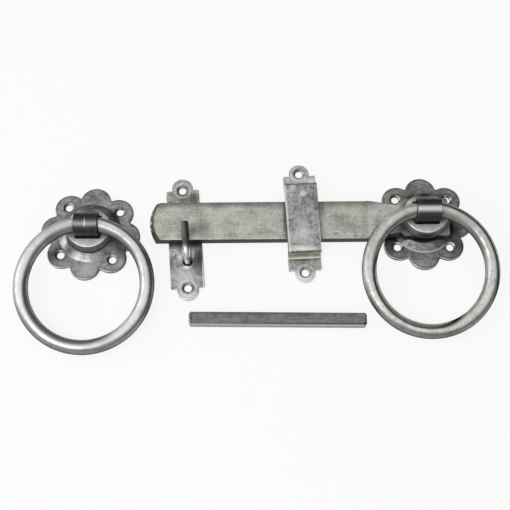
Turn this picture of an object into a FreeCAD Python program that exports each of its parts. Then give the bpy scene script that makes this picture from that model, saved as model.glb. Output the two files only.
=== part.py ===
import FreeCAD, Part
import math
import os

V = FreeCAD.Vector
UP = V(0, 0, 1)

# Ring handles, in mm: a round bar bent to a ring, held by a strap on each hub
left_ring_od = 85.4
right_ring_od = 83.7
rod_d = 9.0
strap_width = 14.6
strap_sheet = 1.3
strap_swing_gap = 0.3
strap_edge_round = 0.4
ring_lift = 0.8
left_strap_shift = -0.4
right_strap_shift = 0.8
floor_gap = 0.05

# Hubs: turned bosses with a pocket for the strap, a neck through the rose and a square socket behind
pocket_gap = 1.0
pocket_depth = 2.6
pocket_corner = 1.6
hub_rim = 2.45
hub_flare = 1.5
hub_height = 6.2
hub_edge_round = 0.7
neck_d = 14.6
neck_run_gap = 0.08
lip_width = 1.2
lip_thickness = 0.7
turn_gap = 0.3
socket_roof = 1.4

# Back washers, trapped between each crown and the peened end of the neck
washer_width = 4.2
washer_thickness = 1.2
washer_play = 0.2
washer_fit = 0.02

# Roses: pressed sheet, eight round petals about a raised crown
rose_sheet = 2.0
petal_count = 8
petal_radius = 9.6
petal_rise_out = 2.1
notch_round = 1.0
petal_edge_round = 0.6
crown_rise = 3.0
crown_ledge = 0.35
crown_slope_run = 4.4
crown_top_round = 1.4
crown_foot_round = 2.2
rose_screw_out = 3.6

# Wood screw holes, countersunk, in every fixed piece
screw_hole_d = 4.6
screw_sink_d = 6.8
screw_sink_half_angle = 45.0

# Latch bar: flat bar, cranked up onto the rose, with a waisted neck and a square-holed pad
bar_width = 25.4
bar_thickness = 6.0
bar_nose_reach = 170.7
bar_nose_sagitta = 3.8
bar_nose_bevel = 2.5
bar_plate_gap = 0.4
bar_edge_round = 0.45
crank_start = 34.0
crank_end = 14.6
near_waist_at = 15.4
near_waist_depth = 2.3
near_shoulder_run = 2.2
far_waist_at = 17.0
far_waist_depth = 4.1
far_shoulder_run = 4.6
pad_overhang = 0.3
pad_corner_round = 1.5
bar_seat_fit = 0.03
bar_rest_angle = 0.57

# Catch: keeper plate with a bent rod hook
plate_sheet = 2.0
catch_width = 20.8
catch_screw_spacing = 66.4
catch_lobe_r = 6.7
catch_lobe_out = 8.0
catch_from_nose = 21.9
catch_drop = 10.45
catch_turn = 4.44
hook_rod_d = 4.8
hook_rise_gap = 4.7
hook_bend_r = 5.5
hook_foot_x = 0.8
hook_foot_y = -15.65
hook_arm_reach = 20.9
hook_tip_round = 0.9
hook_sink_width = 0.8
hook_fit = 0.02
plate_edge_round = 0.4

# Guide bracket: bent strip that bridges the bar
guide_width = 20.6
guide_x = -75.6
guide_y = 0.5
guide_turn = 2.61
guide_bar_travel = 18.4
guide_bar_play = 0.9
guide_screw_from_wall = 10.05
guide_lobe_r = 6.4
guide_lobe_out = 6.35
guide_shoulder_in = 1.45
guide_bend_outer = 2.4
guide_bend_inner = 0.5

# Spindle: square bar, and the way the loose pieces are laid out
spindle_side = 7.2
spindle_length = 107.0
spindle_end_bevel = 1.0
socket_gap = 0.1
spindle_turn = -0.4
spindle_above_ring_foot = 12.2
spindle_tuck = 3.85
left_handle_drop = 7.0
left_ring_past_nose = 5.3
left_rose_turn = -5.5

# Sizes worked out from the ones above
rod_r = rod_d / 2
left_ring_r = left_ring_od / 2 - rod_r
right_ring_r = right_ring_od / 2 - rod_r
tight_ring_r = min(left_ring_r, right_ring_r)
strap_half = strap_width / 2
ring_sag_in_strap = tight_ring_r - math.sqrt(tight_ring_r**2 - strap_half**2)
strap_inner_r = rod_r + ring_sag_in_strap + strap_swing_gap
strap_outer_r = strap_inner_r + strap_sheet
pocket_half_x = strap_half + pocket_gap
pocket_half_y = strap_outer_r + pocket_gap
pocket_corner_reach = math.hypot(pocket_half_x - pocket_corner, pocket_half_y - pocket_corner) + pocket_corner
hub_top_r = pocket_corner_reach + hub_rim
hub_base_r = hub_top_r + hub_flare

crown_r = hub_base_r + crown_ledge
crown_foot_r = crown_r + crown_slope_run
crown_height = rose_sheet + crown_rise
slope_angle = math.atan2(crown_rise, crown_slope_run)
sheet_inset = rose_sheet * math.tan(slope_angle / 2)
petal_circle_r = crown_foot_r + petal_rise_out
rose_screw_r = crown_foot_r + rose_screw_out
neck_bore_r = neck_d / 2 + neck_run_gap

handle_base = crown_height + turn_gap
washer_top = crown_rise - washer_play
washer_foot = washer_top - washer_thickness
lip_foot = washer_foot - lip_thickness
socket_side = spindle_side + 2 * socket_gap

bar_half = bar_width / 2
bar_foot = plate_sheet + bar_plate_gap
bar_top = bar_foot + bar_thickness
pad_reach = hub_base_r + pad_overhang
guide_inner_half = (bar_width + guide_bar_travel) / 2
guide_outer_half = guide_inner_half + plate_sheet
guide_inner_top = bar_top + guide_bar_play
guide_screw_y = guide_outer_half + guide_screw_from_wall
hook_arm_z = bar_top + hook_rise_gap + hook_rod_d / 2

left_hub_top = handle_base + hub_height
right_hub_top = left_hub_top + bar_thickness
left_handle_x = -(bar_nose_reach + left_ring_od / 2 - left_ring_past_nose)


def ring_pivot(hub_top):
    return hub_top + ring_lift + rod_r


def ring_slope(hub_top, ring_r):
    return math.asin((ring_pivot(hub_top) - rod_r - floor_gap) / (2 * ring_r))


def turned(shape, x, y, degrees):
    copy = shape.copy()
    copy.rotate(V(0, 0, 0), UP, degrees)
    copy.translate(V(x, y, 0))
    return copy


def rounded(shape, radius, wanted):
    edges = [edge for edge in shape.Edges if wanted(edge)]
    return shape.makeFillet(radius, edges)


def is_vertical(edge):
    first, last = edge.Vertexes[0].Point, edge.Vertexes[-1].Point
    level_shift = math.hypot(first.x - last.x, first.y - last.y)
    return level_shift < 1e-6 and abs(first.z - last.z) > 1e-6


def at_level(z):
    return lambda edge: abs(edge.BoundBox.ZMin - z) < 1e-5 and abs(edge.BoundBox.ZMax - z) < 1e-5


def circle_at(radius, z):
    def wanted(edge):
        round_edge = isinstance(edge.Curve, Part.Circle)
        return round_edge and abs(edge.Curve.Radius - radius) < 1e-5 and at_level(z)(edge)
    return wanted


def block(x0, x1, y0, y1, z0, z1):
    return Part.makeBox(x1 - x0, y1 - y0, z1 - z0, V(x0, y0, z0))


def screw_hole(x, y, top):
    sink = (screw_sink_d - screw_hole_d) / 2 / math.tan(math.radians(screw_sink_half_angle))
    bore = Part.makeCylinder(screw_hole_d / 2, 3 * top, V(x, y, -top))
    cone = Part.makeCone(screw_hole_d / 2, screw_sink_d / 2, sink, V(x, y, top - sink))
    return bore.fuse(cone)


# Rose: petal arcs, raised crown with an even wall, bore and four screws on the diagonals
def rose():
    half_step = math.pi / petal_count
    notch_r = petal_circle_r * math.cos(half_step) + math.sqrt(
        petal_radius**2 - (petal_circle_r * math.sin(half_step))**2)
    arcs = []
    for petal in range(petal_count):
        middle = 2 * half_step * petal
        ends = [V(notch_r * math.cos(middle + side), notch_r * math.sin(middle + side), 0)
                for side in (-half_step, half_step)]
        tip_r = petal_circle_r + petal_radius
        tip = V(tip_r * math.cos(middle), tip_r * math.sin(middle), 0)
        arcs.append(Part.Arc(ends[0], tip, ends[1]).toShape())
    plate = Part.Face(Part.Wire(arcs)).extrude(V(0, 0, rose_sheet))
    plate = rounded(plate, notch_round, is_vertical)
    plate = rounded(plate, petal_edge_round, at_level(rose_sheet))
    crown = Part.makeCone(crown_foot_r, crown_r, crown_rise, V(0, 0, rose_sheet))
    body = plate.fuse(crown).removeSplitter()
    body = rounded(body, crown_foot_round, circle_at(crown_foot_r, rose_sheet))
    body = rounded(body, crown_top_round, circle_at(crown_r, crown_height))
    hollow = Part.makeCone(crown_foot_r - sheet_inset, crown_r - sheet_inset, crown_rise)
    body = body.cut(hollow)
    body = body.cut(Part.makeCylinder(neck_bore_r, crown_height))
    for quarter in range(4):
        angle = math.radians(45 + 90 * quarter)
        body = body.cut(screw_hole(rose_screw_r * math.cos(angle), rose_screw_r * math.sin(angle), rose_sheet))
    return body


# Hub: flared boss, strap pocket, neck with peened lip, and the square seat where it drives the bar
def hub(top, seat_thickness):
    base = top - hub_height
    boss = Part.makeCone(hub_base_r, hub_top_r, hub_height, V(0, 0, base))
    boss = rounded(boss, hub_edge_round, circle_at(hub_top_r, top))
    boss = rounded(boss, hub_edge_round, circle_at(hub_base_r, base))
    pocket = block(-pocket_half_x, pocket_half_x, -pocket_half_y, pocket_half_y, top - pocket_depth, top)
    boss = boss.cut(rounded(pocket, pocket_corner, is_vertical))
    neck = Part.makeCylinder(neck_d / 2, base - lip_foot, V(0, 0, lip_foot))
    lip = Part.makeCylinder(neck_d / 2 + lip_width, lip_thickness, V(0, 0, lip_foot))
    body = boss.fuse([neck, lip])
    if seat_thickness:
        seat = neck_d / 2
        body = body.fuse(block(-seat, seat, -seat, seat, base - seat_thickness, base))
    roof = top - pocket_depth - socket_roof
    socket = socket_side / 2
    return body.cut(block(-socket, socket, -socket, socket, lip_foot, roof)).removeSplitter()


# Strap: bent over the ring's rod, with both legs standing in the hub's pocket
def ring_strap(hub_top, shift):
    pivot = ring_pivot(hub_top)
    foot = hub_top - pocket_depth
    x = shift - strap_half
    outer, inner = strap_outer_r, strap_inner_r
    outer_arc = Part.Arc(V(x, -outer, pivot), V(x, 0, pivot + outer), V(x, outer, pivot)).toShape()
    inner_arc = Part.Arc(V(x, inner, pivot), V(x, 0, pivot + inner), V(x, -inner, pivot)).toShape()
    legs = [((-outer, foot), (-outer, pivot)), ((outer, pivot), (outer, foot)), ((outer, foot), (inner, foot)),
            ((inner, foot), (inner, pivot)), ((-inner, pivot), (-inner, foot)), ((-inner, foot), (-outer, foot))]
    lines = [Part.makeLine(V(x, *start), V(x, *end)) for start, end in legs]
    outline = Part.Wire(Part.__sortEdges__([outer_arc, inner_arc] + lines))
    strap = Part.Face(outline).extrude(V(strap_width, 0, 0))

    def on_outer_rim(edge):
        box = edge.BoundBox
        at_side = box.XLength < 1e-6
        return at_side and box.ZMax > pivot + inner + strap_sheet / 2
    return rounded(strap, strap_edge_round, on_outer_rim)


def back_washer():
    inner = neck_d / 2 + washer_fit
    disc = Part.makeCylinder(inner + washer_width, washer_thickness, V(0, 0, washer_foot))
    return disc.cut(Part.makeCylinder(inner, washer_thickness, V(0, 0, washer_foot)))


def ring(hub_top, ring_r, shift):
    slope = ring_slope(hub_top, ring_r)
    centre = V(shift, -ring_r * math.cos(slope), ring_pivot(hub_top) - ring_r * math.sin(slope))
    normal = V(0, -math.sin(slope), math.cos(slope))
    return Part.makeTorus(ring_r, rod_r, centre, normal)


# Latch bar: cranked side view and waisted plan, both cut from one piece, then the square hole
def latch_bar():
    lean = math.atan2(handle_base - bar_foot, crank_start - crank_end)
    shift = bar_thickness * math.tan(lean / 2)
    pad_top = handle_base + bar_thickness
    side = [(-bar_nose_reach, bar_foot), (-crank_start, bar_foot), (-crank_end, handle_base),
            (pad_reach, handle_base), (pad_reach, pad_top), (-crank_end - shift, pad_top),
            (-crank_start - shift, bar_top), (-bar_nose_reach, bar_top)]
    points = [V(x, -bar_half, z) for x, z in side]
    bent = Part.Face(Part.makePolygon(points + points[:1])).extrude(V(0, bar_width, 0))
    corner_x = -(bar_nose_reach - bar_nose_sagitta)
    far_side = [(corner_x, bar_half), (-crank_start, bar_half), (-far_waist_at, bar_half - far_waist_depth),
                (far_shoulder_run - far_waist_at, bar_half), (pad_reach, bar_half)]
    near_side = [(pad_reach, -bar_half), (near_shoulder_run - near_waist_at, -bar_half),
                 (-near_waist_at, near_waist_depth - bar_half), (-crank_start, -bar_half), (corner_x, -bar_half)]
    edge_points = [V(x, y, 0) for x, y in far_side + near_side]
    nose = Part.Arc(edge_points[-1], V(-bar_nose_reach, 0, 0), edge_points[0]).toShape()
    plan = Part.Wire(Part.makePolygon(edge_points).Edges + [nose])
    blank = Part.Face(plan).extrude(V(0, 0, pad_top))

    def at_pad_end(edge):
        return is_vertical(edge) and edge.BoundBox.XMin > pad_reach - 1e-5
    bar = bent.common(rounded(blank, pad_corner_round, at_pad_end)).removeSplitter()
    bar = bar.makeChamfer(bar_nose_bevel, [edge for edge in bar.Edges if nose_top_edge(edge)])
    bar = rounded(bar, bar_edge_round, long_top_edge)
    seat = neck_d / 2 + bar_seat_fit
    return bar.cut(block(-seat, seat, -seat, seat, handle_base, pad_top))


def long_top_edge(edge):
    box = edge.BoundBox
    along_side = box.YLength < 1e-6 and box.XLength > bar_width
    return along_side and at_level(bar_top)(edge)


def nose_top_edge(edge):
    return at_level(bar_top)(edge) and isinstance(edge.Curve, Part.Circle)


# Plan of a screwed strip: straight sides, square shoulders and a round lobe past each shoulder
def lobed_plan(half_width, shoulder_y, lobe_r, end_y, height):
    strip = block(-half_width, half_width, -shoulder_y, shoulder_y, 0, height)
    lobe_y = end_y - lobe_r
    neck = block(-lobe_r, lobe_r, -lobe_y, lobe_y, 0, height)
    lobes = [Part.makeCylinder(lobe_r, height, V(0, side * lobe_y, 0)) for side in (-1, 1)]
    return strip.fuse([neck] + lobes).removeSplitter()


def catch_plate():
    screw_y = catch_screw_spacing / 2
    plate = lobed_plan(catch_width / 2, screw_y, catch_lobe_r, screw_y + catch_lobe_out, plate_sheet)
    plate = rounded(plate, plate_edge_round, at_level(plate_sheet))
    for side in (-1, 1):
        plate = plate.cut(screw_hole(0, side * screw_y, plate_sheet))
    foot_r = hook_rod_d / 2 + hook_fit
    foot = Part.makeCylinder(foot_r, plate_sheet, V(hook_foot_x, hook_foot_y, 0))
    sink = Part.makeCone(foot_r, foot_r + hook_sink_width, hook_sink_width,
                         V(hook_foot_x, hook_foot_y, plate_sheet - hook_sink_width))
    return plate.cut(foot.fuse(sink))


def catch_hook():
    x, y = hook_foot_x, hook_foot_y
    bend_low = V(x, y, hook_arm_z - hook_bend_r)
    bend_mid = V(x, y + hook_bend_r * (1 - math.sqrt(0.5)), hook_arm_z - hook_bend_r * (1 - math.sqrt(0.5)))
    bend_high = V(x, y + hook_bend_r, hook_arm_z)
    path = Part.Wire([Part.makeLine(V(x, y, 0), bend_low),
                      Part.Arc(bend_low, bend_mid, bend_high).toShape(),
                      Part.makeLine(bend_high, V(x, y + hook_arm_reach, hook_arm_z))])
    section = Part.Wire(Part.makeCircle(hook_rod_d / 2, V(x, y, 0), UP))
    rod = path.makePipeShell([section], True, False)

    def at_tip(edge):
        return edge.BoundBox.YMin > y + hook_arm_reach - 1e-4
    return rounded(rod, hook_tip_round, at_tip)


# Guide: hat section bent from strip, trimmed to the lobed plan
def guide_bracket():
    end_y = guide_screw_y + guide_lobe_out
    outer_top = guide_inner_top + plate_sheet
    half = [(end_y, 0), (end_y, plate_sheet), (guide_outer_half, plate_sheet), (guide_outer_half, outer_top)]
    inside = [(guide_inner_half, guide_inner_top), (guide_inner_half, 0)]
    right = half + [(-y, z) for y, z in reversed(half)]
    under = [(-y, z) for y, z in reversed(inside)] + inside
    points = [V(-guide_width / 2, y, z) for y, z in right + under]
    hat = Part.Face(Part.makePolygon(points + points[:1])).extrude(V(guide_width, 0, 0))

    def fold_at(y, z):
        def wanted(edge):
            box = edge.BoundBox
            across = box.YLength < 1e-6 and box.ZLength < 1e-6
            return across and abs(abs(box.YMin) - y) < 1e-5 and abs(box.ZMin - z) < 1e-5
        return wanted
    hat = rounded(hat, guide_bend_outer, fold_at(guide_outer_half, outer_top))
    hat = rounded(hat, guide_bend_inner, fold_at(guide_inner_half, guide_inner_top))
    hat = rounded(hat, guide_bend_inner, fold_at(guide_outer_half, plate_sheet))
    hat = rounded(hat, guide_bend_outer - guide_bend_inner, fold_at(guide_inner_half, 0))
    shoulder_y = guide_screw_y - guide_shoulder_in
    trim = lobed_plan(guide_width / 2, shoulder_y, guide_lobe_r, end_y, outer_top)
    bracket = hat.common(trim).removeSplitter()
    for side in (-1, 1):
        bracket = bracket.cut(screw_hole(0, side * guide_screw_y, plate_sheet))
    return bracket


def spindle():
    half = spindle_side / 2
    bar = block(-spindle_length / 2, spindle_length / 2, -half, half, 0, spindle_side)

    def end_edge(edge):
        return edge.BoundBox.XLength < 1e-6
    return bar.makeChamfer(spindle_end_bevel, [edge for edge in bar.Edges if end_edge(edge)])


def spindle_place():
    slope = ring_slope(right_hub_top, right_ring_r)
    ring_foot_y = -(2 * right_ring_r * math.cos(slope) + rod_r)
    right_end_x = -(right_ring_od / 2) + spindle_tuck
    return right_end_x - spindle_length / 2, ring_foot_y + spindle_above_ring_foot


left_place = (left_handle_x, -left_handle_drop)
latch_place = (0, 0, bar_rest_angle)
catch_place = (-(bar_nose_reach - catch_from_nose), -catch_drop, catch_turn)

pieces = {
    "right_rose": rose(),
    "right_hub": turned(hub(right_hub_top, bar_thickness), *latch_place),
    "right_ring_strap": turned(ring_strap(right_hub_top, right_strap_shift), *latch_place),
    "right_back_washer": turned(back_washer(), *latch_place),
    "right_ring": turned(ring(right_hub_top, right_ring_r, right_strap_shift), *latch_place),
    "latch_bar": turned(latch_bar(), *latch_place),
    "left_rose": turned(rose(), *left_place, left_rose_turn),
    "left_hub": turned(hub(left_hub_top, 0), *left_place, 0),
    "left_ring_strap": turned(ring_strap(left_hub_top, left_strap_shift), *left_place, 0),
    "left_back_washer": turned(back_washer(), *left_place, 0),
    "left_ring": turned(ring(left_hub_top, left_ring_r, left_strap_shift), *left_place, 0),
    "catch_plate": turned(catch_plate(), *catch_place),
    "catch_hook": turned(catch_hook(), *catch_place),
    "guide_bracket": turned(guide_bracket(), guide_x, guide_y, guide_turn),
    "spindle": turned(spindle(), *spindle_place(), spindle_turn),
}

os.makedirs("parts", exist_ok=True)
for name, shape in pieces.items():
    solid = shape.Solids[0]
    solid.exportStep("parts/" + name + ".step")
    print(name, len(shape.Solids), solid.isValid(), round(solid.Volume, 1))
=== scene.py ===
import math
import bpy
import mathutils
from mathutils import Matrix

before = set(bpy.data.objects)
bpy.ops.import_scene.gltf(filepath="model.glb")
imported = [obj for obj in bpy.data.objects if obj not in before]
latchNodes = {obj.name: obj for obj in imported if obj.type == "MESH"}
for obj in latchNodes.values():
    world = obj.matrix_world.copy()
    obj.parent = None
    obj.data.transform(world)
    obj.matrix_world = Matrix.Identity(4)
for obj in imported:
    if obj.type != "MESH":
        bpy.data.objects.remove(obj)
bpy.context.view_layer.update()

mmPerMetre = 1000
print("loaded", len(latchNodes), "pieces of the latch set")


def toLinear(hexColour):  # sRGB hex to linear
    parts = [int(hexColour[i:i + 2], 16) / 255 for i in (1, 3, 5)]
    return [c / 12.92 if c <= 0.04045 else ((c + 0.055) / 1.055) ** 2.4 for c in parts] + [1]


def addNode(tree, kind, wires=None, **settings):  # one node, its settings, and its values or links
    node = tree.nodes.new(kind)
    for name, value in settings.items():
        setattr(node, name, value)
    for socket, value in (wires or {}).items():
        if isinstance(value, bpy.types.NodeSocket):
            tree.links.new(value, node.inputs[socket])
        else:
            node.inputs[socket].default_value = value
    return node


# camera, fitted to the screw holes and bar edges, in metres and radians
cameraSetup = {
    "place": (-0.10515, -0.26192, 0.5797), "lean": 0.394, "sensor": 36.0, "lens": 71.2,
}
cameraData = bpy.data.cameras.new("latchCamera")
cameraData.sensor_width = cameraSetup["sensor"]
cameraData.lens = cameraSetup["lens"]
latchCamera = bpy.data.objects.new("latchCamera", cameraData)
latchCamera.location = cameraSetup["place"]
latchCamera.rotation_euler = (cameraSetup["lean"], 0, 0)
bpy.context.scene.collection.objects.link(latchCamera)
bpy.context.scene.camera = latchCamera
bpy.context.scene.view_settings.view_transform = "Standard"
print("camera set")

# soft studio light: a room that is brighter to the left, and two soft lamps there (place, size, watts)
studio = {
    "brightSide": (-0.55, -0.3, 0.78), "bright": 1.02, "dim": 0.08, "aim": (-0.105, -0.02, 0.0),
    "lamps": {
        "lowLeftLamp": ((-1.05, 0.05, 0.55), 0.6, 1.3), "nearLeftLamp": ((-0.55, -0.5, 0.75), 0.5, 2.0),
    },
    "floorSize": 40.0, "floorColour": "#FAFAFA", "floorGlow": 0.85, "dimFrom": -0.25, "brightFrom": 0.75,
    "floorPlace": (-0.105, -0.02, -0.00002),
}
world = bpy.data.worlds.new("paleRoom")
bpy.context.scene.world = world
world.use_nodes = True
room = world.node_tree
room.nodes.clear()
facing = addNode(room, "ShaderNodeTexCoord")
towards = addNode(room, "ShaderNodeVectorMath", {
    0: facing.outputs["Generated"], 1: studio["brightSide"]}, operation="DOT_PRODUCT")
dimming = addNode(room, "ShaderNodeMapRange", {
    "Value": towards.outputs["Value"], "From Min": studio["dimFrom"], "From Max": studio["brightFrom"],
    "To Min": studio["dim"], "To Max": studio["bright"]}, interpolation_type="SMOOTHSTEP")
glow = addNode(room, "ShaderNodeBackground", {"Strength": dimming.outputs["Result"]})
addNode(room, "ShaderNodeOutputWorld", {"Surface": glow.outputs["Background"]})

for lampName, (lampPlace, lampSize, lampPower) in studio["lamps"].items():
    lampData = bpy.data.lights.new(lampName, "AREA")
    lampData.shape = "DISK"
    lampData.size = lampSize
    lampData.energy = lampPower
    lamp = bpy.data.objects.new(lampName, lampData)
    lamp.location = lampPlace
    away = lamp.location - mathutils.Vector(studio["aim"])
    lamp.rotation_euler = away.to_track_quat("Z", "Y").to_euler()
    bpy.context.scene.collection.objects.link(lamp)

bpy.ops.object.select_all(action="DESELECT")
bpy.ops.mesh.primitive_plane_add(size=studio["floorSize"], location=studio["floorPlace"])
floor = bpy.context.object
floor.name = "paleFloor"
paper = bpy.data.materials.new("matte white paper")  # even white with the faint shadow of the pieces
paper.use_nodes = True
sheet = paper.node_tree
sheet.nodes.clear()
ray = addNode(sheet, "ShaderNodeLightPath")
seenOrShiny = addNode(sheet, "ShaderNodeMath", {
    0: ray.outputs["Is Camera Ray"], 1: ray.outputs["Is Glossy Ray"]}, operation="MAXIMUM")
anySight = addNode(sheet, "ShaderNodeMath", {
    0: seenOrShiny.outputs[0], 1: ray.outputs["Is Transmission Ray"]}, operation="MAXIMUM")
glowShare = addNode(sheet, "ShaderNodeMath", {0: anySight.outputs[0], 1: studio["floorGlow"]},
                    operation="MULTIPLY")
matte = addNode(sheet, "ShaderNodeBsdfDiffuse", {"Color": toLinear(studio["floorColour"])})
white = addNode(sheet, "ShaderNodeEmission", {"Strength": 1.0})
paperMix = addNode(sheet, "ShaderNodeMixShader", {
    0: glowShare.outputs[0], 1: matte.outputs[0], 2: white.outputs[0]})
addNode(sheet, "ShaderNodeOutputMaterial", {"Surface": paperMix.outputs[0]})
floor.data.materials.append(paper)
print("floor and light set")

# what all the metals share: where a face counts as a side, where an edge takes painted light and where a
# corner takes painted shade
metalLook = {
    "cloudDetail": 4.0, "streakDetail": 2.0, "grainDetail": 1.0, "satinTone": (0.35, 0.65),
    "sideUp": (0.6, 0.2), "edgeTurn": (0.98, 0.8), "edgeSamples": 8,
    "cornerMm": 6.0, "cornerOpen": (0.9, 0.4), "cornerShadeColour": "#1C1C1E", "cornerSamples": 8,
}


# bare metal: cloudy tone, drawn streaks and grain, with sides and edges in painted light and shade and
# painted shade in the corners
# the real grain is finer than grainMm, and is drawn about a millimetre wide so that it shows
def startMetal(look):
    metal = bpy.data.materials.new(look["name"])
    metal.use_nodes = True
    tree = metal.node_tree
    tree.nodes.clear()
    place = addNode(tree, "ShaderNodeTexCoord")
    inMm = addNode(tree, "ShaderNodeVectorMath", {0: place.outputs["Object"], 1: [mmPerMetre] * 3},
                   operation="MULTIPLY").outputs[0]
    cloud = addNode(tree, "ShaderNodeTexNoise", {
        "Vector": inMm, "Scale": 1 / look["cloudMm"], "Detail": metalLook["cloudDetail"]})
    drawn = addNode(tree, "ShaderNodeMapping", {
        "Vector": inMm, "Rotation": (0, 0, look["turn"]), "Scale": [1 / size for size in look["streakMm"]]})
    streak = addNode(tree, "ShaderNodeTexNoise", {
        "Vector": drawn.outputs[0], "Scale": 1.0, "Detail": metalLook["streakDetail"]})
    grain = addNode(tree, "ShaderNodeTexNoise", {
        "Vector": inMm, "Scale": 1 / look["grainMm"], "Detail": metalLook["grainDetail"]})
    mixed = addNode(tree, "ShaderNodeMix", {
        "Factor": look["streakShare"], "A": cloud.outputs["Fac"], "B": streak.outputs["Fac"]})
    tone = addNode(tree, "ShaderNodeMix", {
        "Factor": look["grainShare"], "A": mixed.outputs[0], "B": grain.outputs["Fac"]})
    level = addNode(tree, "ShaderNodeMapRange", {
        "Value": tone.outputs[0], "From Min": 0.5 - look["contrast"], "From Max": 0.5 + look["contrast"]})
    face = addNode(tree, "ShaderNodeMix", {
        0: level.outputs[0], 6: toLinear(look["dull"]), 7: toLinear(look["bright"])}, data_type="RGBA")
    # faces that stand up take the look's side colour: painted light and shade by how the face is turned
    upright = addNode(tree, "ShaderNodeSeparateXYZ", {0: place.outputs["Normal"]})
    onSide = addNode(tree, "ShaderNodeMapRange", {
        "Value": upright.outputs["Z"], "From Min": metalLook["sideUp"][0],
        "From Max": metalLook["sideUp"][1]}, interpolation_type="SMOOTHSTEP")
    sided = addNode(tree, "ShaderNodeMix", {
        0: onSide.outputs[0], 6: face.outputs[2], 7: toLinear(look["side"])}, data_type="RGBA")
    # edges take the look's edge colour: a painted highlight where it is pale, painted shade where it is dark
    softened = addNode(tree, "ShaderNodeBevel", {"Radius": look["edgeMm"] / mmPerMetre},
                       samples=metalLook["edgeSamples"])
    trueFace = addNode(tree, "ShaderNodeNewGeometry")
    turned = addNode(tree, "ShaderNodeVectorMath", {
        0: softened.outputs[0], 1: trueFace.outputs["Normal"]}, operation="DOT_PRODUCT")
    paintedLight = addNode(tree, "ShaderNodeMapRange", {
        "Value": turned.outputs["Value"], "From Min": metalLook["edgeTurn"][0],
        "From Max": metalLook["edgeTurn"][1], "To Max": look["edgeLightShare"]})
    patchy = addNode(tree, "ShaderNodeMath", {0: paintedLight.outputs[0], 1: level.outputs[0]},
                     operation="MULTIPLY")
    edgePainted = addNode(tree, "ShaderNodeMix", {
        0: patchy.outputs[0], 6: sided.outputs[2], 7: toLinear(look["edge"])}, data_type="RGBA")
    # hollows and corners closed in by other surfaces are painted darker: painted shade
    corner = addNode(tree, "ShaderNodeAmbientOcclusion", {"Distance": metalLook["cornerMm"] / mmPerMetre},
                     samples=metalLook["cornerSamples"])
    cornerShade = addNode(tree, "ShaderNodeMapRange", {
        "Value": corner.outputs["AO"], "From Min": metalLook["cornerOpen"][0],
        "From Max": metalLook["cornerOpen"][1], "To Max": look["creviceShade"]})
    cornerShaded = addNode(tree, "ShaderNodeMix", {
        0: cornerShade.outputs[0], 6: edgePainted.outputs[2], 7: toLinear(metalLook["cornerShadeColour"])}, data_type="RGBA")
    satin = addNode(tree, "ShaderNodeMapRange", {
        "Value": tone.outputs[0], "From Min": metalLook["satinTone"][0],
        "From Max": metalLook["satinTone"][1], "To Min": look["roughness"] + look["roughSpread"],
        "To Max": look["roughness"] - look["roughSpread"]})
    bump = addNode(tree, "ShaderNodeBump", {
        "Height": tone.outputs[0], "Distance": look["bumpMm"] / mmPerMetre, "Strength": 1.0})
    shader = addNode(tree, "ShaderNodeBsdfPrincipled", {
        "Metallic": 1.0, "Roughness": satin.outputs[0], "Normal": bump.outputs[0],
        "Base Color": cornerShaded.outputs[2]})
    addNode(tree, "ShaderNodeOutputMaterial", {"Surface": shader.outputs["BSDF"]})
    return {"metal": metal, "tree": tree, "inMm": inMm, "normal": place.outputs["Normal"],
            "colour": cornerShaded.outputs[2], "shader": shader}


def tint(base, mask, colour):  # lay a colour over the metal where the mask is
    layer = addNode(base["tree"], "ShaderNodeMix", {0: mask, 6: base["colour"], 7: toLinear(colour)},
                    data_type="RGBA")
    base["colour"] = layer.outputs[2]
    base["tree"].links.new(layer.outputs[2], base["shader"].inputs["Base Color"])


def spotMask(tree, inMm, spots):  # soft spots, added up: centre and spread in mm, strength
    total = 0.0
    for centre, spread, strength in spots:
        offset = addNode(tree, "ShaderNodeVectorMath", {0: inMm, 1: centre}, operation="SUBTRACT")
        scaled = addNode(tree, "ShaderNodeVectorMath", {0: offset.outputs[0], 1: spread}, operation="DIVIDE")
        reach = addNode(tree, "ShaderNodeVectorMath", {0: scaled.outputs[0]}, operation="LENGTH")
        fade = addNode(tree, "ShaderNodeMapRange", {
            "Value": reach.outputs["Value"], "From Min": 1.0, "From Max": 0.0, "To Max": strength},
            interpolation_type="SMOOTHSTEP")
        total = addNode(tree, "ShaderNodeMath", {0: total, 1: fade.outputs[0]}, operation="ADD").outputs[0]
    return total


def dress(names, base):  # the same finish on each of these pieces
    for name in names:
        slots = latchNodes[name].material_slots
        if not slots:
            latchNodes[name].data.materials.append(base["metal"])
        for held in slots:
            held.material = base["metal"]
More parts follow.
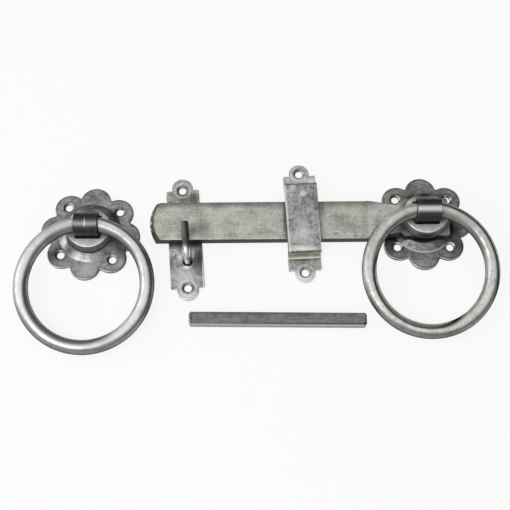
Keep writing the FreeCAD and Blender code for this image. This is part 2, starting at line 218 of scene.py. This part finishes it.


# latch bar: rolled flat steel, dull zinc grey with long faint streaks and a few pits; its sides, nose and
# far edge are painted shade, with painted shadows and a painted highlight on top
barLook = {
    "name": "zinc-washed rolled steel", "creviceShade": 0.8, "bright": "#DDDFD5", "dull": "#ABADA3",
    "side": "#30302C", "edge": "#333430", "cloudMm": 11.0, "streakMm": (22.0, 3.0, 3.0),
    "streakShare": 0.28, "turn": -0.01, "grainMm": 1.1, "grainShare": 0.35, "contrast": 0.11,
    "edgeMm": 0.8, "edgeLightShare": 1.5, "roughness": 0.46, "roughSpread": 0.05, "bumpMm": 0.06,
    "rim": (7.0, 13.0), "rimColour": "#55574F",
    # the first six are pits; most of the rest are painted shadows of the hook, the guide's edges, the ring
    # and the right hub
    "pitsAndShadows": [
        ((-26.8, 4.7, 8.8), (1.1, 0.9, 3), 1.0), ((-29.5, -1.5, 8.8), (0.8, 0.7, 3), 0.9),
        ((-24.5, 1.0, 9.4), (0.7, 0.7, 3), 0.9), ((-30.5, 7.5, 8.8), (0.7, 0.6, 3), 0.8),
        ((-42.8, -11.5, 8.4), (2.2, 0.8, 3), 0.9), ((-39.0, -12.0, 8.4), (1.0, 0.7, 3), 0.9),
        ((-55.0, -10.0, 8.4), (3.5, 1.6, 3), 0.5), ((-138.5, -6.0, 8.4), (8.0, 8.5, 3), 0.6),
        ((-144.0, -8.0, 8.4), (4.0, 7.0, 3), 0.5), ((-86.6, 2.0, 8.4), (1.7, 16.0, 3), 0.8),
        ((-63.0, 8.0, 8.4), (2.5, 8.0, 3), 0.5), ((-8.0, -13.0, 10.0), (18.0, 4.5, 5), 0.6),
        ((-27.5, -9.0, 9.0), (7.0, 6.0, 5), 0.6), ((-28.7, -2.5, 9.0), (6.0, 9.0, 5), 0.45),
        ((-14.5, -6.0, 11.3), (7.0, 9.0, 5), 0.65),
    ],
    "pitAndShadowColour": "#55564F", "noseColour": "#2E2E2C", "chipColour": "#F4F4F0",
    "chips": [
        ((-170.4, -2.2, 6.5), (1.8, 2.4, 4), 1.0), ((-169.9, -6.4, 6.5), (1.3, 1.4, 4), 0.9),
        ((-170.0, 3.6, 6.5), (1.2, 1.2, 4), 0.9), ((-168.0, -8.0, 7.5), (0.8, 1.0, 3), 0.6),
    ],
    # a pale patch on the crank, and a painted highlight along the crank's bend
    "dustAndSheen": [
        ((-27.0, 4.0, 9.0), (8.0, 9.0, 5), 0.6), ((-34.2, 1.0, 8.4), (0.7, 14.0, 3), 0.8),
    ],
    "dustAndSheenColour": "#CDCDCB", "rimShare": 0.7, "noseTilt": (-0.15, -0.4), "noseShare": 0.75,
}
barSteel = startMetal(barLook)
barTree = barSteel["tree"]
across = addNode(barTree, "ShaderNodeMapping", {
    "Vector": barSteel["inMm"], "Rotation": (0, 0, barLook["turn"])})
acrossParts = addNode(barTree, "ShaderNodeSeparateXYZ", {0: across.outputs[0]})
# the top is painted darker towards the far long edge: painted shade
farRim = addNode(barTree, "ShaderNodeMapRange", {
    "Value": acrossParts.outputs["Y"], "From Min": barLook["rim"][0], "From Max": barLook["rim"][1],
    "To Max": barLook["rimShare"]}, interpolation_type="SMOOTHSTEP")
tint(barSteel, farRim.outputs[0], barLook["rimColour"])
tint(barSteel, spotMask(barTree, barSteel["inMm"], barLook["dustAndSheen"]), barLook["dustAndSheenColour"])
tint(barSteel, spotMask(barTree, barSteel["inMm"], barLook["pitsAndShadows"]), barLook["pitAndShadowColour"])
# faces turned to the left end, the bevelled nose, are painted darker: painted shade
barFacing = addNode(barTree, "ShaderNodeSeparateXYZ", {0: barSteel["normal"]})
noseBevel = addNode(barTree, "ShaderNodeMapRange", {
    "Value": barFacing.outputs["X"], "From Min": barLook["noseTilt"][0], "From Max": barLook["noseTilt"][1],
    "To Max": barLook["noseShare"]})
tint(barSteel, noseBevel.outputs[0], barLook["noseColour"])
tint(barSteel, spotMask(barTree, barSteel["inMm"], barLook["chips"]), barLook["chipColour"])
dress(["latch_bar"], barSteel)

# rings: drawn round bar, bright and satin, with their reflections painted into the colour as lighter and
# darker bands bands and shadow are stops of place and shade, from the near left slope to the far right slope
# of the bar: painted highlights and painted shade
ringLook = {
    "name": "bright drawn zinc-plated bar", "creviceShade": 0.6, "side": "#D0D0D2", "edge": "#D8D8D8",
    "cloudMm": 6.0, "streakMm": (3.0, 3.0, 3.0), "streakShare": 0.3, "turn": 0.0, "grainMm": 1.0,
    "grainShare": 0.35, "contrast": 0.13, "edgeMm": 0.5, "edgeLightShare": 0.0, "roughness": 0.36,
    "roughSpread": 0.06, "bumpMm": 0.04,
    "paintedBands": [
        (0.0, 0.7), (0.2, 0.8), (0.32, 0.76), (0.45, 0.76), (0.53, 0.96), (0.6, 1.0), (0.72, 1.0),
        (0.78, 0.7),
    ],
    "nearShade": 0.45, "bandDrift": (0.35, -0.05), "nearTilt": (-0.05, -0.42), "scarAndPatchColour": "#77777A",
}
# each ring has its own bright and dull colours and shadow stops: lit and shaded copies of one metal, the
# right ring painted darker
rings = {
    "left_ring": {
        "bright": "#FAFAFA", "dull": "#DEDEE1", "shadow": [(0.83, 0.5), (0.9, 0.32), (1.0, 0.5)],
        "grazing": "#5A5A5C", "lean": 0.161, "middle": -44.7, "radius": 38.2,
        "scarsAndPatches": [
            # small scars, and broad darker patches on the left ring's upper left and bottom
            ((-171.6, -39.0, 12.0), (5.0, 9.0, 5.0), 0.5), ((-173.0, -62.0, 9.0), (3.0, 6.0, 5.0), 0.4),
            ((-232.0, -9.9, 15.0), (26.0, 18.0, 14.0), 0.3),
            ((-204.4, -82.2, 6.0), (34.0, 12.0, 14.0), 0.28),
        ],
    },
    "right_ring": {
        "bright": "#EFEFEB", "dull": "#C6C6C1", "shadow": [(0.8, 0.36), (0.88, 0.07), (1.0, 1.0)],
        "grazing": "#262628", "lean": 0.247, "middle": -36.2, "radius": 37.35,
        "scarsAndPatches": [
            ((-15.0, -75.4, 9.0), (2.6, 1.4, 6.0), 0.9), ((-12.5, -76.2, 9.0), (1.2, 1.0, 6.0), 0.9),
            ((38.5, -44.0, 14.0), (1.0, 1.6, 6.0), 0.9),
        ],
    },
}
for ringName, ring in rings.items():
    ringSteel = startMetal({**ringLook, "bright": ring["bright"], "dull": ring["dull"]})
    ringTree = ringSteel["tree"]
    inRing = addNode(ringTree, "ShaderNodeMapping", {
        "Vector": ringSteel["normal"], "Rotation": (-ring["lean"], 0, 0)}, vector_type="VECTOR")
    inRingParts = addNode(ringTree, "ShaderNodeSeparateXYZ", {0: inRing.outputs[0]})
    alongParts = addNode(ringTree, "ShaderNodeSeparateXYZ", {0: ringSteel["inMm"]})
    drift = addNode(ringTree, "ShaderNodeMapRange", {
        "Value": alongParts.outputs["Y"], "From Min": ring["middle"] - ring["radius"],
        "From Max": ring["middle"] + ring["radius"], "To Min": ringLook["bandDrift"][0],
        "To Max": ringLook["bandDrift"][1]})
    sideways = addNode(ringTree, "ShaderNodeMath", {
        0: inRingParts.outputs["X"], 1: inRingParts.outputs["Y"]}, operation="ADD")
    drifted = addNode(ringTree, "ShaderNodeMath", {0: sideways.outputs[0], 1: drift.outputs[0]},
                      operation="ADD")
    slope = addNode(ringTree, "ShaderNodeMapRange", {
        "Value": drifted.outputs[0], "From Min": -1.0, "From Max": 1.0})
    paintedBands = addNode(ringTree, "ShaderNodeValToRGB", {0: slope.outputs[0]})
    for stopPlace, stopShade in ringLook["paintedBands"] + ring["shadow"]:
        stop = paintedBands.color_ramp.elements.new(stopPlace)
        stop.color = (stopShade, stopShade, stopShade, 1)
    paintedBands.color_ramp.elements.remove(paintedBands.color_ramp.elements[0])  # the black stop that the ramp came with
    paintedBands.color_ramp.elements.remove(paintedBands.color_ramp.elements[-2])  # and its white one
    # slopes turned to the near side are painted darker: painted shade
    nearShading = addNode(ringTree, "ShaderNodeMapRange", {
        "Value": inRingParts.outputs["Y"], "From Min": ringLook["nearTilt"][0],
        "From Max": ringLook["nearTilt"][1], "To Min": 1.0, "To Max": ringLook["nearShade"]},
        interpolation_type="SMOOTHSTEP")
    bandShade = addNode(ringTree, "ShaderNodeMix", {
        0: 1.0, 6: paintedBands.outputs[0], 7: nearShading.outputs[0]}, data_type="RGBA", blend_type="MULTIPLY")
    banded = addNode(ringTree, "ShaderNodeMix", {
        0: 1.0, 6: ringSteel["colour"], 7: bandShade.outputs[2]}, data_type="RGBA", blend_type="MULTIPLY")
    ringSteel["colour"] = banded.outputs[2]
    tint(ringSteel, spotMask(ringTree, ringSteel["inMm"], ring["scarsAndPatches"]), ringLook["scarAndPatchColour"])
    ringSteel["shader"].inputs["Specular Tint"].default_value = toLinear(ring["grazing"])
    dress([ringName], ringSteel)

# roses: pressed sheet, mid grey, clouded by the plating, with a painted dark line inside the petal rims,
# painted highlights on near rims and painted shade on far rims
roseLook = {
    "name": "pressed zinc-plated sheet", "creviceShade": 0.9, "bright": "#B4B5B2", "dull": "#747574",
    "side": "#38383A", "edge": "#9C9C9A", "cloudMm": 5.5, "streakMm": (3.2, 1.9, 2.0),
    "streakShare": 0.45, "turn": 0.3, "grainMm": 1.1, "grainShare": 0.25, "contrast": 0.11, "edgeMm": 0.8,
    "edgeLightShare": 0.9, "roughness": 0.38, "roughSpread": 0.07, "bumpMm": 0.07, "rimLineMm": 2.2,
    "footCentre": (0.0, 0.0, 2.2), "footR": 20.0, "rimZ": (2.3, 2.05), "farSide": (0.6, 0.8, 0.0),
    "nearRim": "#DCDCD8", "farRim": "#29292C",
    # stains, and painted shadows: deep shade right of the right hub's pad and behind its strap, and shade
    # laid over a highlight on the right crown
    "stainsAndShadows": [
        ((2.0, 0.0, 2.0), (46.0, 46.0, 12.0), 0.38), ((-193.8, 4.9, 3.0), (7.0, 8.0, 5.0), 0.75),
        ((-195.0, -4.0, 3.0), (6.0, 6.0, 5.0), 0.5), ((-206.0, 8.0, 4.0), (12.0, 5.0, 4.0), 0.5),
        ((-205.0, 16.0, 3.0), (9.0, 7.0, 5.0), 0.3), ((-231.3, -2.7, 3.0), (7.0, 8.0, 5.0), 0.4),
        ((8.0, 17.0, 3.0), (12.0, 8.0, 5.0), 0.7), ((20.0, -4.0, 3.0), (9.0, 10.0, 5.0), 0.75),
        ((16.0, -8.0, 5.0), (5.0, 8.0, 6.0), 0.9), ((-6.0, 18.0, 3.0), (10.0, 7.0, 5.0), 0.5),
        ((2.0, 17.0, 6.0), (15.0, 3.5, 5.0), 0.8), ((-12.5, -15.5, 4.0), (6.0, 4.5, 4.0), 0.6),
    ],
    "stainAndShadowColour": "#303034",
    # painted highlights on the left crown's slope, and paler patches on the petals
    "bareAndHighlights": [
        ((-224.0, -13.6, 3.5), (3.2, 6.0, 5.0), 0.8), ((-217.6, -24.0, 3.5), (7.0, 4.0, 5.0), 0.5),
        ((-209.0, -31.0, 2.0), (12.0, 9.0, 5.0), 0.6), ((-190.0, -28.0, 2.0), (7.0, 6.0, 5.0), 0.35),
        ((-193.0, -17.5, 2.0), (3.0, 5.0, 5.0), 0.5), ((-224.0, 12.0, 2.0), (4.0, 4.0, 5.0), 0.35),
        ((-226.0, -27.0, 2.0), (8.0, 7.0, 5.0), 0.35), ((-2.0, -28.0, 2.0), (12.0, 5.0, 5.0), 0.3),
    ],
    "bareAndHighlightColour": "#D4D6D6", "lineFrom": (0.999, 0.985), "lineTo": (0.9, 0.96), "lineShare": 0.6,
    "rimTilt": 0.45, "rimShare": 0.75, "rimUp": (0.2, 0.45), "footMm": (0.9, 0.1), "footShare": 0.7,
    "footNearY": (-11.0, -15.0),
}
roseSteel = startMetal(roseLook)
roseTree = roseSteel["tree"]
tint(roseSteel, spotMask(roseTree, roseSteel["inMm"], roseLook["stainsAndShadows"]), roseLook["stainAndShadowColour"])
tint(roseSteel, spotMask(roseTree, roseSteel["inMm"], roseLook["bareAndHighlights"]), roseLook["bareAndHighlightColour"])
# a painted dark line just inside each petal rim: painted shade
wideRim = addNode(roseTree, "ShaderNodeBevel", {"Radius": roseLook["rimLineMm"] / mmPerMetre},
                  samples=metalLook["edgeSamples"])
roseFace = addNode(roseTree, "ShaderNodeNewGeometry")
towardsRim = addNode(roseTree, "ShaderNodeVectorMath", {
    0: wideRim.outputs[0], 1: roseFace.outputs["Normal"]}, operation="DOT_PRODUCT")
lineStart = addNode(roseTree, "ShaderNodeMapRange", {
    "Value": towardsRim.outputs["Value"], "From Min": roseLook["lineFrom"][0],
    "From Max": roseLook["lineFrom"][1], "To Max": roseLook["lineShare"]})
lineEnd = addNode(roseTree, "ShaderNodeMapRange", {
    "Value": towardsRim.outputs["Value"], "From Min": roseLook["lineTo"][0],
    "From Max": roseLook["lineTo"][1]})
rimLine = addNode(roseTree, "ShaderNodeMath", {0: lineStart.outputs[0], 1: lineEnd.outputs[0]},
                  operation="MULTIPLY")
tint(roseSteel, rimLine.outputs[0], roseLook["farRim"])
rosePlace = addNode(roseTree, "ShaderNodeSeparateXYZ", {0: roseSteel["inMm"]})
roseFacing = addNode(roseTree, "ShaderNodeVectorMath", {
    0: roseSteel["normal"], 1: roseLook["farSide"]}, operation="DOT_PRODUCT")
roseUp = addNode(roseTree, "ShaderNodeSeparateXYZ", {0: roseSteel["normal"]})
aboveSide = addNode(roseTree, "ShaderNodeMapRange", {
    "Value": roseUp.outputs["Z"], "From Min": roseLook["rimUp"][0], "From Max": roseLook["rimUp"][1]})
onSheet = addNode(roseTree, "ShaderNodeMapRange", {
    "Value": rosePlace.outputs["Z"], "From Min": roseLook["rimZ"][0], "From Max": roseLook["rimZ"][1]})
# rims turned to the near left are painted pale and rims turned to the far right painted dark: painted
# highlight and painted shade
rims = ((roseLook["nearRim"], -roseLook["rimTilt"]), (roseLook["farRim"], roseLook["rimTilt"]))
for rimColour, rimTilt in rims:
    rolled = addNode(roseTree, "ShaderNodeMapRange", {
        "Value": roseFacing.outputs["Value"], "From Min": rimTilt / 4, "From Max": rimTilt,
        "To Max": roseLook["rimShare"]}, interpolation_type="SMOOTHSTEP")
    rimOnly = addNode(roseTree, "ShaderNodeMath", {0: rolled.outputs[0], 1: onSheet.outputs[0]},
                      operation="MULTIPLY")
    rimTop = addNode(roseTree, "ShaderNodeMath", {0: rimOnly.outputs[0], 1: aboveSide.outputs[0]},
                     operation="MULTIPLY")
    tint(roseSteel, rimTop.outputs[0], rimColour)
# a thin pale line along the crown's near foot: a painted highlight
fromCrown = addNode(roseTree, "ShaderNodeVectorMath", {
    0: roseSteel["inMm"], 1: roseLook["footCentre"]}, operation="DISTANCE")
offFoot = addNode(roseTree, "ShaderNodeMath", {0: fromCrown.outputs["Value"], 1: roseLook["footR"]},
                  operation="SUBTRACT")
footReach = addNode(roseTree, "ShaderNodeMath", {0: offFoot.outputs[0]}, operation="ABSOLUTE")
footLine = addNode(roseTree, "ShaderNodeMapRange", {
    "Value": footReach.outputs[0], "From Min": roseLook["footMm"][0], "From Max": roseLook["footMm"][1],
    "To Max": roseLook["footShare"]})
nearHalf = addNode(roseTree, "ShaderNodeMapRange", {
    "Value": rosePlace.outputs["Y"], "From Min": roseLook["footNearY"][0],
    "From Max": roseLook["footNearY"][1]})
nearLine = addNode(roseTree, "ShaderNodeMath", {0: footLine.outputs[0], 1: nearHalf.outputs[0]},
                   operation="MULTIPLY")
tint(roseSteel, nearLine.outputs[0], roseLook["nearRim"])
dress(["left_rose", "right_rose"], roseSteel)

# hubs: turned bosses with a clean pale top, and sides and the parts round the straps in painted shade
hubLook = {
    "name": "turned zinc-plated steel", "creviceShade": 0.15, "bright": "#FAFAF4", "dull": "#D2D2CC",
    "side": "#7C7C7E", "edge": "#E8E8E4", "cloudMm": 5.0, "streakMm": (3.0, 1.5, 1.5), "streakShare": 0.3,
    "turn": 0.0, "grainMm": 1.0, "grainShare": 0.3, "contrast": 0.13, "edgeMm": 0.7, "edgeLightShare": 0.35,
    "roughness": 0.52, "roughSpread": 0.05, "bumpMm": 0.05,
    # painted shade on the hubs' far halves round the straps and on the right hub's near flank
    "paintedShade": [
        ((-208.1, 5.0, 11.5), (17.0, 11.0, 9.0), 0.9), ((0.0, 14.0, 16.0), (19.0, 10.0, 9.0), 1.2),
        ((-196.0, -9.0, 11.5), (5.0, 8.0, 9.0), 0.5), ((0.0, -14.5, 14.5), (20.0, 4.0, 4.0), 0.9),
        ((0.0, -16.0, 12.5), (22.0, 5.0, 6.0), 0.5),
    ],
    "paintedShadeColour": "#3A3A3E",
}
hubSteel = startMetal(hubLook)
tint(hubSteel, spotMask(hubSteel["tree"], hubSteel["inMm"], hubLook["paintedShade"]), hubLook["paintedShadeColour"])
dress(["left_hub", "right_hub", "left_back_washer", "right_back_washer"], hubSteel)

# straps: bent strip, oiled dark, with a painted highlight band on the near side of the bend, paler on the
# right strap than the left
strapLook = {
    "name": "oiled dark strip steel", "creviceShade": 0.8, "bright": "#545457", "dull": "#343438",
    "side": "#2E2E33", "edge": "#6E6E6C", "cloudMm": 4.0, "streakMm": (1.2, 6.0, 6.0), "streakShare": 0.5,
    "turn": 0.0, "grainMm": 0.9, "grainShare": 0.3, "contrast": 0.13, "edgeMm": 0.5, "edgeLightShare": 0.4,
    "roughness": 0.44, "roughSpread": 0.05, "bumpMm": 0.04, "paintedLight": (-0.36, 0.4),
    "paintedLightColour": {
        "left_ring_strap": "#8C8C86", "right_ring_strap": "#E4E4DC",
    },
    "scratches": [
        ((-208.6, -9.0, 23.0), (0.7, 4.5, 4.0), 0.9), ((6.5, -2.5, 29.0), (1.6, 3.0, 4.0), 0.6),
    ],
    "scratchColour": "#D8D8D2",
}
for strapName, paintedLightColour in strapLook["paintedLightColour"].items():
    strapSteel = startMetal(strapLook)
    strapTree = strapSteel["tree"]
    strapFacing = addNode(strapTree, "ShaderNodeSeparateXYZ", {0: strapSteel["normal"]})
    fromLitFacing = addNode(strapTree, "ShaderNodeMath", {0: strapFacing.outputs["Y"], 1: strapLook["paintedLight"][0]},
                      operation="SUBTRACT")
    litFacingReach = addNode(strapTree, "ShaderNodeMath", {0: fromLitFacing.outputs[0]}, operation="ABSOLUTE")
    paintedLightBand = addNode(strapTree, "ShaderNodeMapRange", {
        "Value": litFacingReach.outputs[0], "From Min": strapLook["paintedLight"][1], "From Max": 0.0},
        interpolation_type="SMOOTHSTEP")
    tint(strapSteel, paintedLightBand.outputs[0], paintedLightColour)
    scratched = spotMask(strapTree, strapSteel["inMm"], strapLook["scratches"])
    tint(strapSteel, scratched, strapLook["scratchColour"])
    dress([strapName], strapSteel)

# catch plate and guide: zinc-plated strip with bright crystals, blotched, yellowed in its folds; the hook's
# shadow, fold and edge lines and screw collars are painted light and shade
# the edges' spots are in mm turned in line with the plate, and a collar is radius, width, share and colour
plateLook = {
    "name": "spangled zinc-plated strip", "creviceShade": 0.35, "bright": "#DCDEDA", "dull": "#7E8380",
    "side": "#D6DAC0", "edge": "#FAFCFA", "cloudMm": 4.2, "streakMm": (1.8, 4.0, 3.0), "streakShare": 0.4,
    "turn": -0.06, "grainMm": 1.1, "grainShare": 0.38, "contrast": 0.13, "edgeMm": 1.3, "edgeLightShare": 4.0,
    "roughness": 0.32, "roughSpread": 0.08, "bumpMm": 0.22, "crystalMm": 2.6, "crystalShare": 0.25,
    "arcCentre": (-146.3, -43.9, 2.0), "arcMm": 1.6, "arcFrom": (3.4, 4.4),
    # stains, and painted shadows: the hook's shadow right of it and dark lines under the guide's folds
    "stainsAndShadows": [
        ((-139.8, -24.0, 2.0), (7.5, 14.0, 6.0), 0.95), ((-149.0, 18.0, 2.0), (12.0, 6.0, 6.0), 0.6),
        ((-143.0, 14.0, 2.0), (6.0, 9.0, 6.0), 0.6), ((-67.0, 10.0, 12.0), (4.0, 16.0, 6.0), 0.35),
        ((-157.0, -27.0, 2.0), (3.0, 8.0, 4.0), 0.65), ((-71.0, 15.0, 11.3), (7.0, 9.0, 5.0), 0.3),
        ((-78.0, 3.0, 11.3), (9.0, 7.0, 5.0), 0.2), ((-75.0, -25.2, 3.0), (13.0, 0.9, 3.5), 0.8),
        ((-76.0, 22.5, 8.0), (13.0, 1.2, 5.0), 0.7),
    ],
    "stainAndShadowColour": "#383C39",
    # pale patches, and painted highlights along the guide's fold and round the hook's foot
    "bareAndHighlights": [
        ((-75.1, 16.4, 11.3), (3.2, 3.2, 4.0), 0.8), ((-82.0, 20.0, 11.3), (3.0, 4.0, 4.0), 0.6),
        ((-76.0, -8.0, 11.3), (6.0, 9.0, 4.0), 0.35), ((-76.0, -20.9, 11.0), (13.0, 2.6, 3.5), 1.0),
        ((-149.0, -36.0, 2.0), (9.0, 8.0, 4.0), 0.45), ((-147.2, -30.0, 2.0), (4.2, 1.5, 2.5), 1.6),
        ((-151.6, -23.2, 2.0), (2.6, 3.0, 3.0), 0.9), ((-143.6, -21.0, 2.0), (1.2, 6.0, 3.0), 0.6),
        ((-146.2, -49.5, 2.0), (8.0, 4.0, 3.0), 0.6), ((-76.0, -36.5, 2.0), (10.0, 7.0, 4.0), 1.1),
        ((-79.0, 31.0, 2.0), (9.0, 7.0, 4.0), 0.5), ((-69.5, 29.5, 2.0), (4.5, 4.0, 4.0), 0.9),
        ((-76.0, -14.0, 11.3), (11.0, 7.0, 4.0), 0.4),
    ],
    "bareAndHighlightColour": "#FAFCFA", "sinkSide": (0.6, 0.8, 0.0),
    "guideEdges": {
        "turn": -0.056,
        "dark": [
            ((-86.0, 4.3, 11.3), (0.8, 80.0, 8.0), 1.0), ((-65.2, 4.3, 11.3), (0.6, 80.0, 4.0), 0.6),
            ((-75.6, -18.7, 9.8), (40.0, 0.9, 2.0), 0.9),
        ],
        "edgeHighlights": [
            ((-84.9, 4.3, 11.3), (0.8, 80.0, 4.0), 0.8), ((-75.6, -19.4, 2.0), (40.0, 1.0, 1.6), 1.0),
        ],
    },
    "catchEdges": {
        "turn": -0.0686,
        "dark": [
            ((-159.8, -12.0, 2.0), (0.7, 45.0, 3.0), 0.8), ((-140.2, -20.0, 2.0), (0.7, 22.0, 3.0), 0.5),
        ],
        "edgeHighlights": [((-139.0, -27.0, 2.0), (0.8, 16.0, 3.0), 1.2)],
    },
    "screws": [
        (-77.1, 34.4, 2.0), (-74.1, -33.4, 2.0), (-151.4, 22.7, 2.0), (-146.2, -43.6, 2.0),
    ],
    "collars": [
        (5.0, 0.8, 0.45, "#FAFCFA"), (3.5, 0.5, 0.4, "#383C39"),
    ],
    "crystalColour": "#868C8A", "arcLine": (0.1, 0.9), "lobeY": (-45.5, -47.5), "sinkTilt": (0.1, 0.5),
    "sinkShare": 0.9, "stripZ": (2.2, 2.05),
}
plateZinc = startMetal(plateLook)
plateTree = plateZinc["tree"]
crystals = addNode(plateTree, "ShaderNodeTexVoronoi", {
    "Vector": plateZinc["inMm"], "Scale": 1 / plateLook["crystalMm"]})
crystalParts = addNode(plateTree, "ShaderNodeSeparateColor", {0: crystals.outputs["Color"]})
crystalShade = addNode(plateTree, "ShaderNodeMath", {
    0: crystalParts.outputs[0], 1: plateLook["crystalShare"]}, operation="MULTIPLY")
tint(plateZinc, crystalShade.outputs[0], plateLook["crystalColour"])
tint(plateZinc, spotMask(plateTree, plateZinc["inMm"], plateLook["stainsAndShadows"]), plateLook["stainAndShadowColour"])
tint(plateZinc, spotMask(plateTree, plateZinc["inMm"], plateLook["bareAndHighlights"]), plateLook["bareAndHighlightColour"])
# dark and pale lines along the guide's and catch's edges and folds: painted shade and painted highlights
for edges in (plateLook["guideEdges"], plateLook["catchEdges"]):
    inLine = addNode(plateTree, "ShaderNodeMapping", {
        "Vector": plateZinc["inMm"], "Rotation": (0, 0, edges["turn"])})
    tint(plateZinc, spotMask(plateTree, inLine.outputs[0], edges["dark"]), plateLook["stainAndShadowColour"])
    tint(plateZinc, spotMask(plateTree, inLine.outputs[0], edges["edgeHighlights"]), plateLook["bareAndHighlightColour"])
fromScrew = addNode(plateTree, "ShaderNodeVectorMath", {
    0: plateZinc["inMm"], 1: plateLook["arcCentre"]}, operation="DISTANCE")
turns = addNode(plateTree, "ShaderNodeMath", {
    0: fromScrew.outputs["Value"], 1: 2 * math.pi / plateLook["arcMm"]}, operation="MULTIPLY")
wave = addNode(plateTree, "ShaderNodeMath", {0: turns.outputs[0]}, operation="SINE")
arcLines = addNode(plateTree, "ShaderNodeMapRange", {
    "Value": wave.outputs[0], "From Min": plateLook["arcLine"][0], "From Max": plateLook["arcLine"][1]})
outside = addNode(plateTree, "ShaderNodeMapRange", {
    "Value": fromScrew.outputs["Value"], "From Min": plateLook["arcFrom"][0],
    "From Max": plateLook["arcFrom"][1]})
platePlace = addNode(plateTree, "ShaderNodeSeparateXYZ", {0: plateZinc["inMm"]})
onLobe = addNode(plateTree, "ShaderNodeMapRange", {
    "Value": platePlace.outputs["Y"], "From Min": plateLook["lobeY"][0], "From Max": plateLook["lobeY"][1]})
arcs = addNode(plateTree, "ShaderNodeMath", {0: arcLines.outputs[0], 1: outside.outputs[0]},
               operation="MULTIPLY")
lobeArcs = addNode(plateTree, "ShaderNodeMath", {0: arcs.outputs[0], 1: onLobe.outputs[0]},
                   operation="MULTIPLY")
tint(plateZinc, lobeArcs.outputs[0], plateLook["bareAndHighlightColour"])
for screw in plateLook["screws"]:  # painted highlight collar and painted shade ring round each screw hole
    fromHole = addNode(plateTree, "ShaderNodeVectorMath", {0: plateZinc["inMm"], 1: screw},
                       operation="DISTANCE")
    for collarR, collarWidth, collarShare, collarColour in plateLook["collars"]:
        offCollar = addNode(plateTree, "ShaderNodeMath", {0: fromHole.outputs["Value"], 1: collarR},
                            operation="SUBTRACT")
        collarReach = addNode(plateTree, "ShaderNodeMath", {0: offCollar.outputs[0]}, operation="ABSOLUTE")
        collar = addNode(plateTree, "ShaderNodeMapRange", {
            "Value": collarReach.outputs[0], "From Min": collarWidth, "From Max": collarWidth / 4,
            "To Max": collarShare})
        tint(plateZinc, collar.outputs[0], collarColour)
# countersink walls turned to the far right are painted dark: painted shade
sinkFacing = addNode(plateTree, "ShaderNodeVectorMath", {
    0: plateZinc["normal"], 1: plateLook["sinkSide"]}, operation="DOT_PRODUCT")
sinkShadow = addNode(plateTree, "ShaderNodeMapRange", {
    "Value": sinkFacing.outputs["Value"], "From Min": plateLook["sinkTilt"][0],
    "From Max": plateLook["sinkTilt"][1], "To Max": plateLook["sinkShare"]})
onStrip = addNode(plateTree, "ShaderNodeMapRange", {
    "Value": platePlace.outputs["Z"], "From Min": plateLook["stripZ"][0],
    "From Max": plateLook["stripZ"][1]})
sinkShade = addNode(plateTree, "ShaderNodeMath", {0: sinkShadow.outputs[0], 1: onStrip.outputs[0]},
                    operation="MULTIPLY")
tint(plateZinc, sinkShade.outputs[0], plateLook["stainAndShadowColour"])
dress(["catch_plate", "guide_bracket"], plateZinc)

# hook: bent round rod, dull grey, with a painted highlight at the bend
hookLook = {
    "name": "dull bent steel rod", "creviceShade": 0.1, "bright": "#6A6B6E", "dull": "#4C4D50",
    "side": "#8A8B8C", "edge": "#A0A09E", "cloudMm": 3.0, "streakMm": (1.0, 5.0, 2.0), "streakShare": 0.3,
    "turn": -0.08, "grainMm": 0.9, "grainShare": 0.3, "contrast": 0.13, "edgeMm": 0.4, "edgeLightShare": 0.3,
    "roughness": 0.33, "roughSpread": 0.05, "bumpMm": 0.04,
    # a painted highlight on the bend and along the arm's left edge, and a paler lower leg
    "bareAndHighlights": [
        ((-147.0, -25.6, 16.5), (6.0, 5.4, 7.0), 1.0), ((-147.0, -28.0, 7.0), (4.0, 4.0, 9.0), 0.6),
        ((-149.6, -12.0, 16.0), (1.2, 12.0, 3.0), 0.25),
    ],
    "bareAndHighlightColour": "#FFFFFF",
}
hookSteel = startMetal(hookLook)
tint(hookSteel, spotMask(hookSteel["tree"], hookSteel["inMm"], hookLook["bareAndHighlights"]), hookLook["bareAndHighlightColour"])
dress(["catch_hook"], hookSteel)

# spindle: plain square bar, mid grey with lengthwise marks, edges in painted shade and a pale filed end
spindleLook = {
    "name": "plain square bar steel", "creviceShade": 0.5, "bright": "#9A9B98", "dull": "#71726F",
    "side": "#A6A7A0", "edge": "#30302C", "cloudMm": 6.0, "streakMm": (12.0, 1.2, 1.2),
    "streakShare": 0.45, "turn": 0.007, "grainMm": 1.1, "grainShare": 0.35, "contrast": 0.12,
    "edgeMm": 0.7, "edgeLightShare": 1.4, "roughness": 0.42, "roughSpread": 0.05, "bumpMm": 0.06,
    # painted shade along the spindle's near and far edges and by its ends
    "paintedShade": [
        ((-91.0, -61.0, 7.2), (90.0, 3.0, 4.0), 0.4), ((-91.0, -68.5, 7.2), (150.0, 1.0, 1.3), 1.0),
        ((-143.2, -65.0, 7.2), (0.8, 5.0, 4.0), 0.8), ((-38.2, -68.4, 6.5), (2.4, 2.0, 4.0), 1.5),
    ],
    "paintedShadeColour": "#33332F", "bareAndHighlights": [((-144.9, -67.0, 6.5), (1.6, 4.5, 5.0), 1.1)],
    "bareAndHighlightColour": "#D2D3CE",
}
spindleSteel = startMetal(spindleLook)
spindleShade = spotMask(spindleSteel["tree"], spindleSteel["inMm"], spindleLook["paintedShade"])
tint(spindleSteel, spindleShade, spindleLook["paintedShadeColour"])
spindleBare = spotMask(spindleSteel["tree"], spindleSteel["inMm"], spindleLook["bareAndHighlights"])
tint(spindleSteel, spindleBare, spindleLook["bareAndHighlightColour"])
dress(["spindle"], spindleSteel)
print("finishes set")
